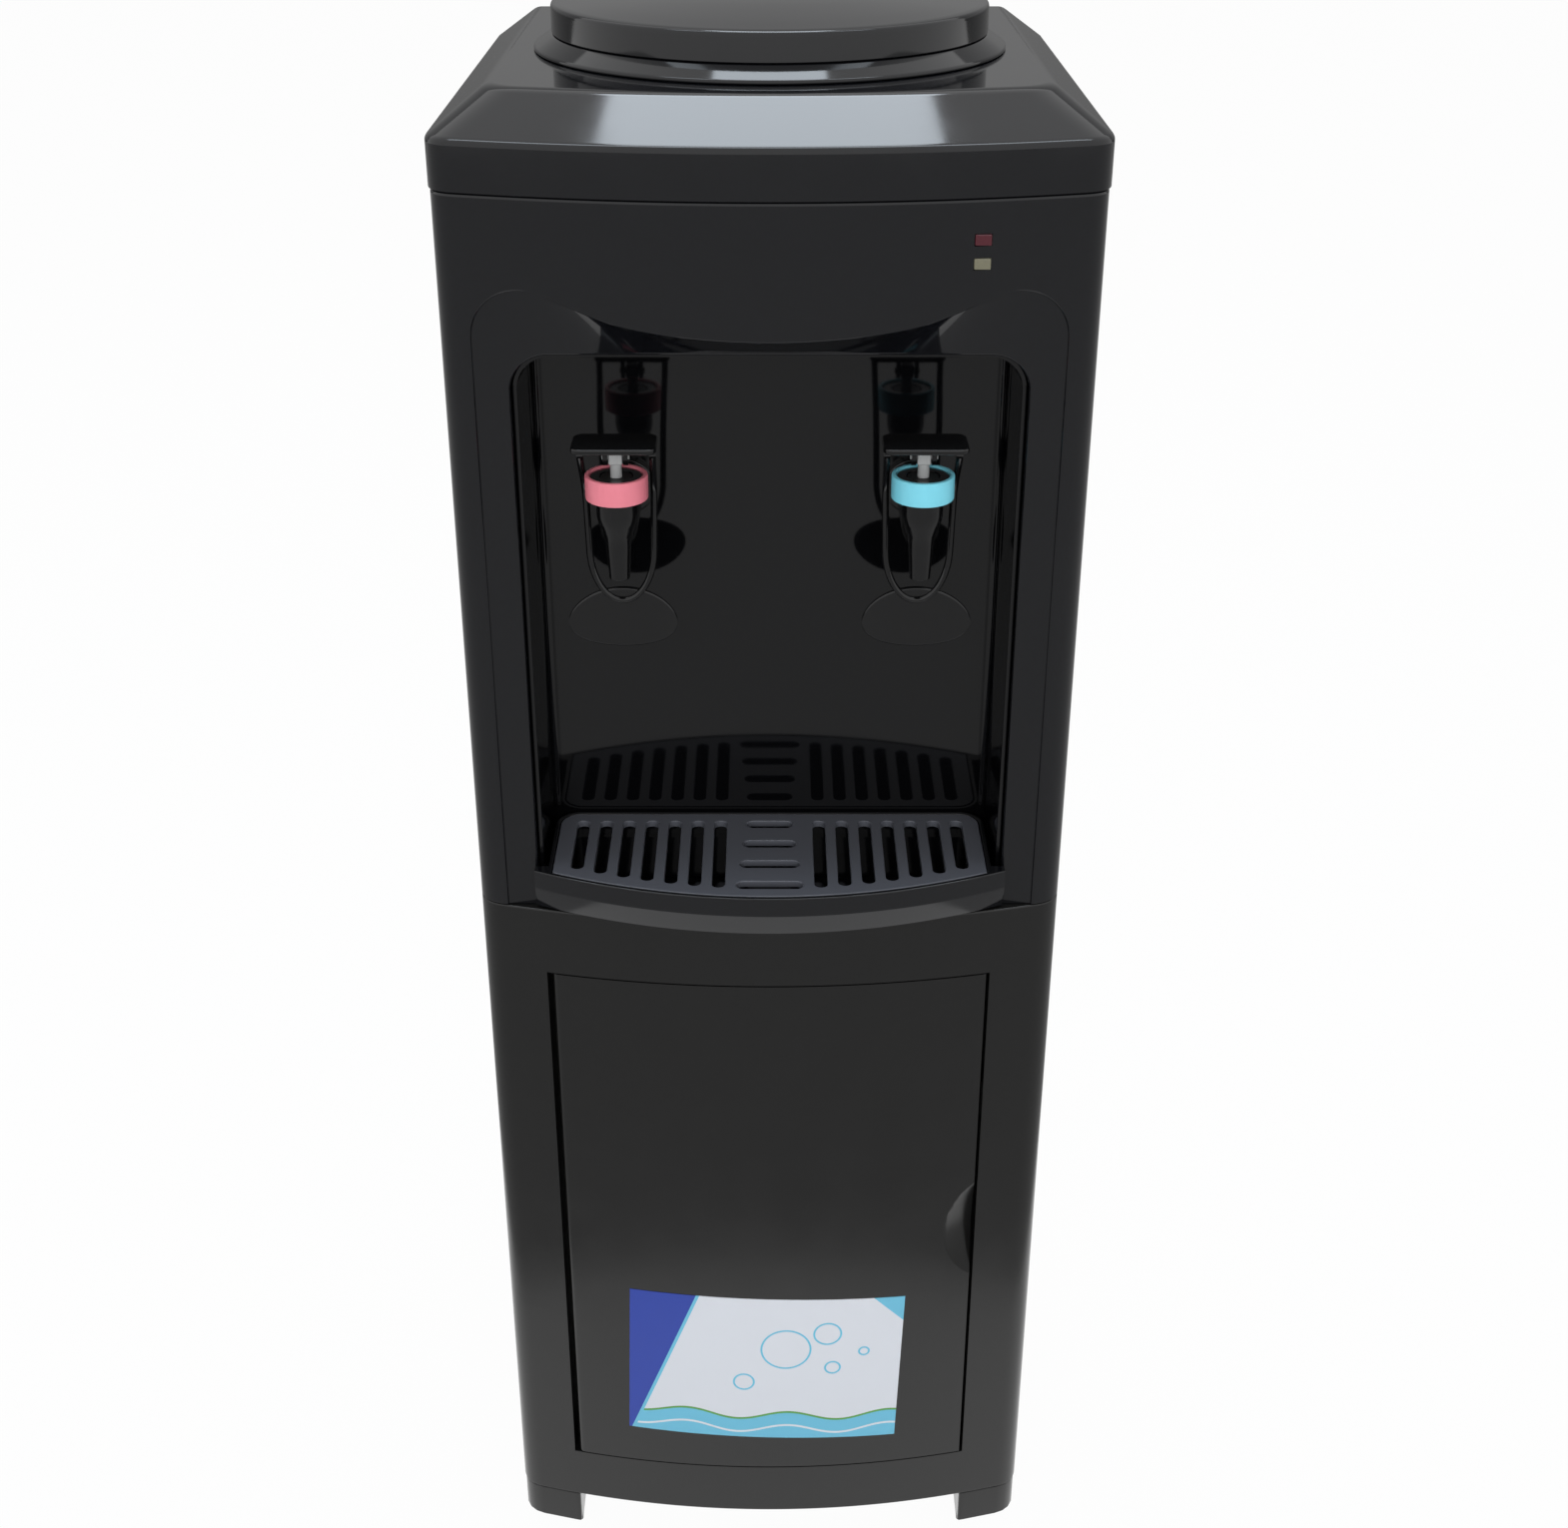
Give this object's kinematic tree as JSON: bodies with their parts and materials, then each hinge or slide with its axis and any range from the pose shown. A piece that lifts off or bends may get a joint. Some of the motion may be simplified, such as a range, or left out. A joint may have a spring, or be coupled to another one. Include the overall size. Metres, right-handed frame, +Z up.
{
  "type": "floor water dispenser",
  "caption": "Free-standing bottle-fed water dispenser with a bowed front, hot and cold cup-lever taps over a slotted drip tray, a lidded bottle seat and a storage cupboard below",
  "frame": {"origin": "on the floor, under the middle of the overall bounding box", "axes": "+Z up, the front with the taps and the door faces -Y, and +X is to the right of someone who faces the front"},
  "size_m": [0.31, 0.346, 0.8951],
  "materials": {
    "gloss_black": "high gloss",
    "satin_black": "satin",
    "painted_black": "satin paint",
    "zinc_steel": "zinc plated",
    "stainless": "bright",
    "milky_plastic": "satin",
    "silicone": "matt",
    "black_rubber": "matt",
    "foam": "open cell",
    "tap_red": "satin",
    "tap_blue": "satin",
    "lamp_red": "clear lens",
    "lamp_green": "clear lens",
    "signal_red": "gloss"
  },
  "bodies": {
    "housing": {"base": "satin_black", "lower_front": "satin_black", "door_magnet": "satin_black", "cupboard_liner": "satin_black", "upper_fascia": "gloss_black", "recess_liner": "gloss_black", "left_side_panel": "painted_black", "right_side_panel": "painted_black", "back_panel": "painted_black", "back_screw_lower_left": "zinc_steel", "back_screw_lower_right": "zinc_steel", "back_screw_upper_left": "zinc_steel", "back_screw_upper_right": "zinc_steel", "top_cover": "gloss_black", "bottle_collar": "gloss_black", "bottle_probe": "milky_plastic", "tank_gasket": "silicone", "water_tank": "stainless", "tank_separator": "milky_plastic", "inner_deck": "zinc_steel", "hot_tank_stand": "zinc_steel", "tank_jacket": "foam", "hot_tank": "stainless", "band_heater": "zinc_steel", "thermostat": "milky_plastic", "feed_hose": "silicone", "hot_hose": "silicone", "cold_hose": "silicone", "drain_hose": "silicone", "hot_tap_body": "gloss_black", "hot_tap_ring": "tap_red", "hot_tap_seal": "satin_black", "hot_tap_spring": "stainless", "hot_tap_nut": "milky_plastic", "cold_tap_body": "gloss_black", "cold_tap_ring": "tap_blue", "cold_tap_seal": "satin_black", "cold_tap_spring": "stainless", "cold_tap_nut": "milky_plastic", "heating_lamp": "lamp_red", "power_lamp": "lamp_green", "lamp_board": "milky_plastic", "switch_bezel": "satin_black", "cord_gland": "black_rubber", "drain_spout": "milky_plastic", "terminal_block": "milky_plastic"},
    "door": {"cupboard_door": "satin_black", "door_pin_lower": "zinc_steel", "door_pin_upper": "zinc_steel", "strike_plate": "zinc_steel"},
    "lid": {"lid": "gloss_black"},
    "tray": {"drip_tray": "gloss_black"},
    "grille": {"drip_grille": "satin_black"},
    "hot_stem": {"hot_tap_stem": "milky_plastic"},
    "hot_lever": {"hot_tap_lever": "gloss_black"},
    "cold_stem": {"cold_tap_stem": "milky_plastic"},
    "cold_lever": {"cold_tap_lever": "gloss_black"},
    "rocker": {"heater_rocker": "signal_red"},
    "drain_cap": {"drain_cap": "satin_black"}
  },
  "joints": [
    {"name": "door_hinge", "type": "hinge", "parent": "housing", "child": "door", "pos_m": [-0.112, -0.14074, 0.241], "axis": [0, 0, -1], "range_deg": [0, 95]},
    {"name": "lid_lift", "type": "slide", "parent": "housing", "child": "lid", "axis": [0, 0, 1], "range_m": [0, 0.1]},
    {"name": "tray_slide", "type": "slide", "parent": "housing", "child": "tray", "axis": [0, -1, 0], "range_m": [0, 0.1]},
    {"name": "grille_lift", "type": "slide", "parent": "tray", "child": "grille", "axis": [0, 0, 1], "range_m": [0, 0.06]},
    {"name": "hot_stem_lift", "type": "slide", "parent": "housing", "child": "hot_stem", "axis": [0, 0, 1], "range_m": [0, 0.003], "deforming": ["hot_tap_spring"]},
    {"name": "hot_lever_swing", "type": "hinge", "parent": "hot_stem", "child": "hot_lever", "pos_m": [-0.0725, -0.147, 0.7065], "axis": [1, 0, 0], "range_deg": [0, 10], "stiffness_Nm_per_rad": 0.5},
    {"name": "cold_stem_lift", "type": "slide", "parent": "housing", "child": "cold_stem", "axis": [0, 0, 1], "range_m": [0, 0.003], "deforming": ["cold_tap_spring"]},
    {"name": "cold_lever_swing", "type": "hinge", "parent": "cold_stem", "child": "cold_lever", "pos_m": [0.0725, -0.147, 0.7065], "axis": [1, 0, 0], "range_deg": [0, 10], "stiffness_Nm_per_rad": 0.5},
    {"name": "rocker_tilt", "type": "hinge", "parent": "housing", "child": "rocker", "pos_m": [-0.1, 0.1535, 0.585], "axis": [-1, 0, 0], "range_deg": [0, 18]},
    {"name": "drain_cap_pull", "type": "slide", "parent": "housing", "child": "drain_cap", "axis": [0, 1, 0], "range_m": [0, 0.025]}
  ],
  "couplings": [
    {"joint": "hot_stem_lift", "follows": "hot_lever_swing", "m_per_rad": 0.0171},
    {"joint": "cold_stem_lift", "follows": "cold_lever_swing", "m_per_rad": 0.0171}
  ]
}
